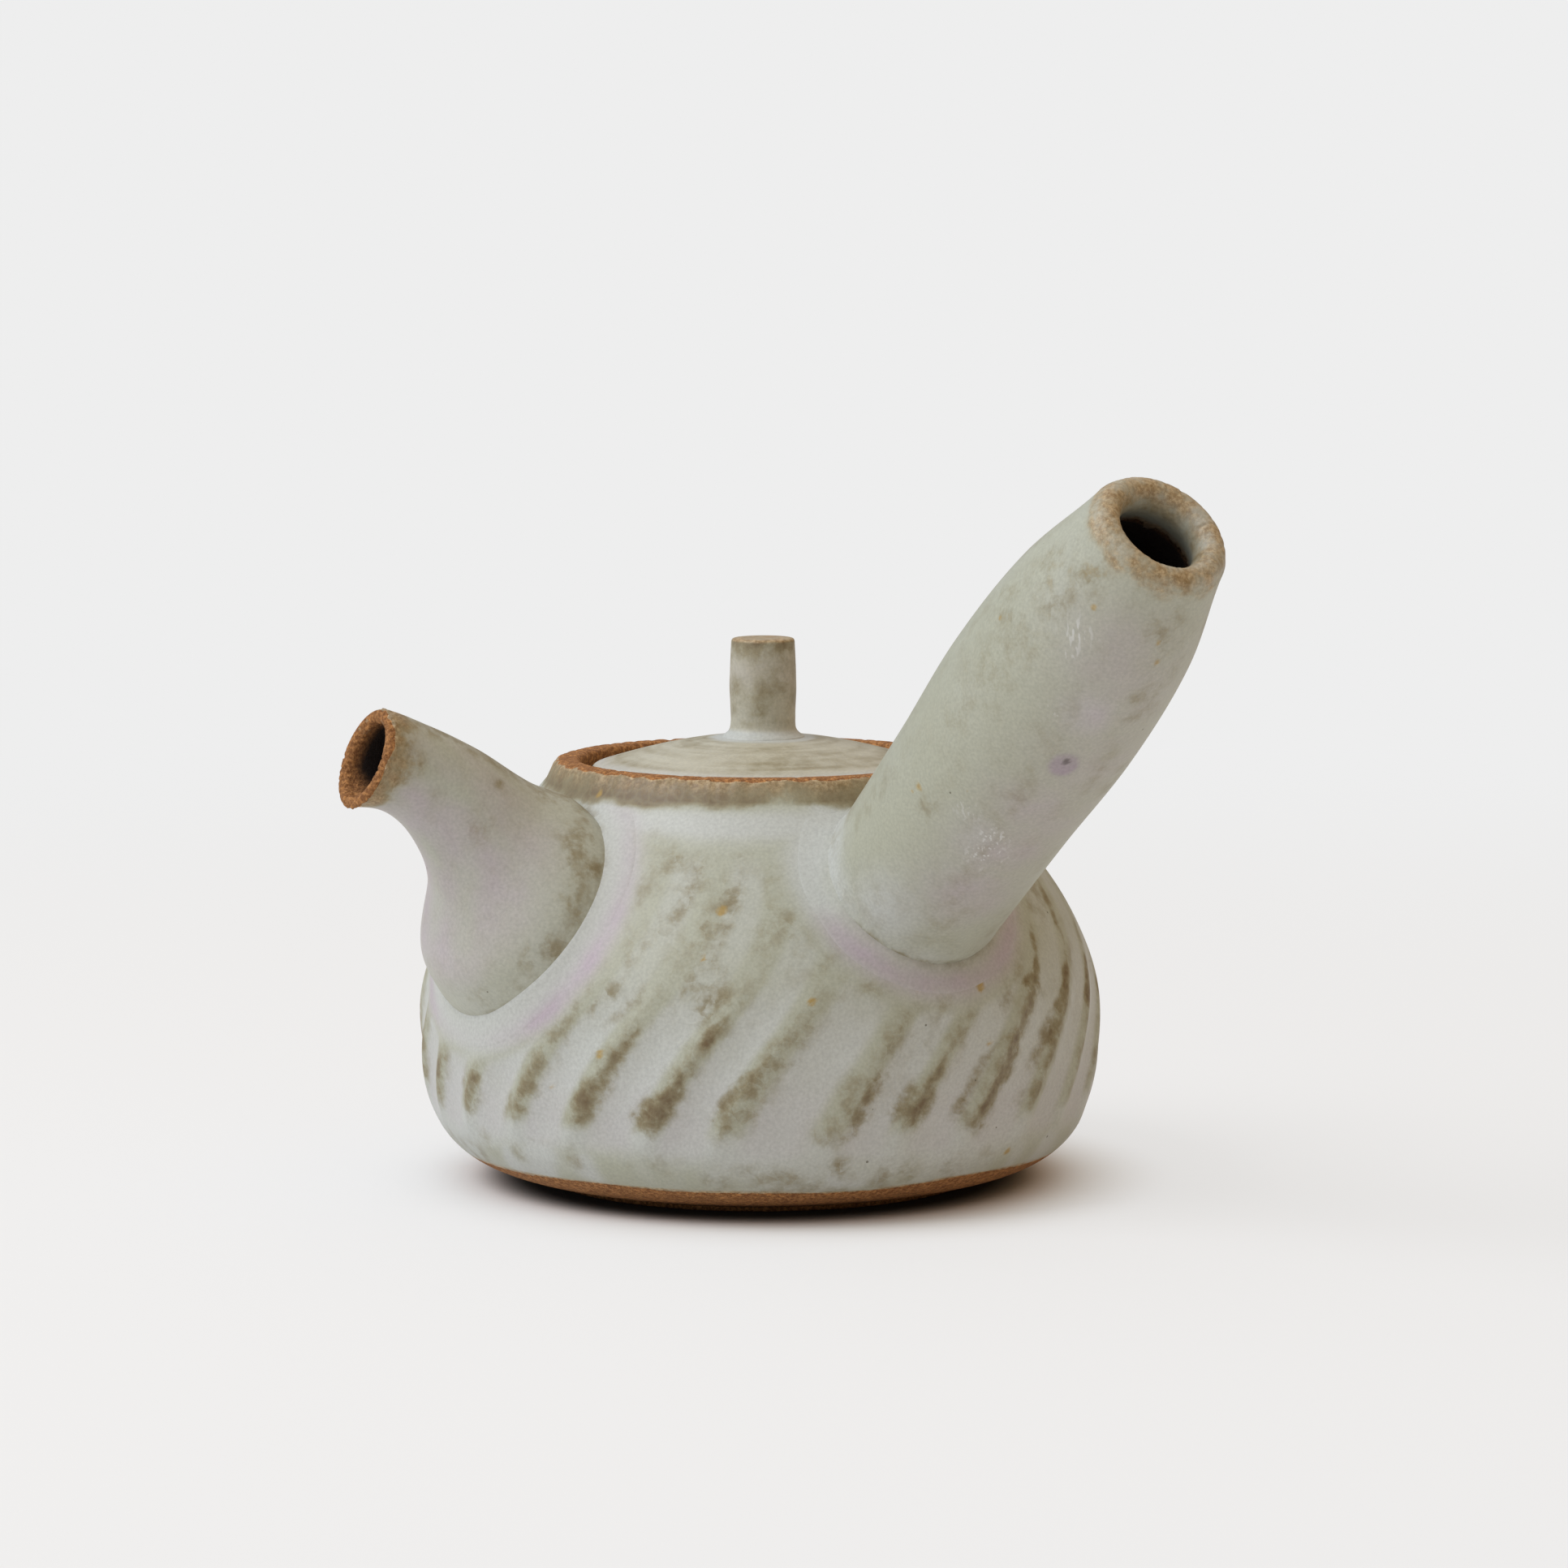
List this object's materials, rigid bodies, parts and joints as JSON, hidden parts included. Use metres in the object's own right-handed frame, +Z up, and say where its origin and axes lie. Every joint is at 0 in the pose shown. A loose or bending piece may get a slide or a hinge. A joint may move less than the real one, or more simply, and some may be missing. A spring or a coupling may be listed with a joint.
{
  "type": "side-handle teapot",
  "caption": "Squat fluted stoneware teapot with a hollow tapered side handle, short upturned spout, pierced strainer behind it, and an inset lid with a post knob that lifts off.",
  "frame": {"origin": "centre of the flat base, on the pot's own axis", "axes": "+Z up along the pot's axis, the spout along -X, the hollow handle along -Y"},
  "size_m": [0.1191, 0.1519, 0.1068],
  "materials": {
    "glazed_stoneware": "matte pale grey-green glaze, pooled white in the hollows and breaking olive brown on the ridges",
    "thin_glaze_stoneware": "matte pale glaze, brushed thin so the clay shows through olive",
    "bare_clay": "unglazed gritty reddish-brown fired clay"
  },
  "bodies": {
    "pot": {"pot_body": "glazed_stoneware", "spout": "glazed_stoneware", "spout_joint_coil": "glazed_stoneware", "strainer": "bare_clay", "handle": "glazed_stoneware", "handle_joint_coil": "glazed_stoneware"},
    "lid": {"lid": "thin_glaze_stoneware", "lid_knob": "thin_glaze_stoneware"}
  },
  "joints": [
    {"name": "lid_lift", "type": "slide", "parent": "pot", "child": "lid", "axis": [0, 0, 1], "range_m": [0, 0.06]}
  ]
}
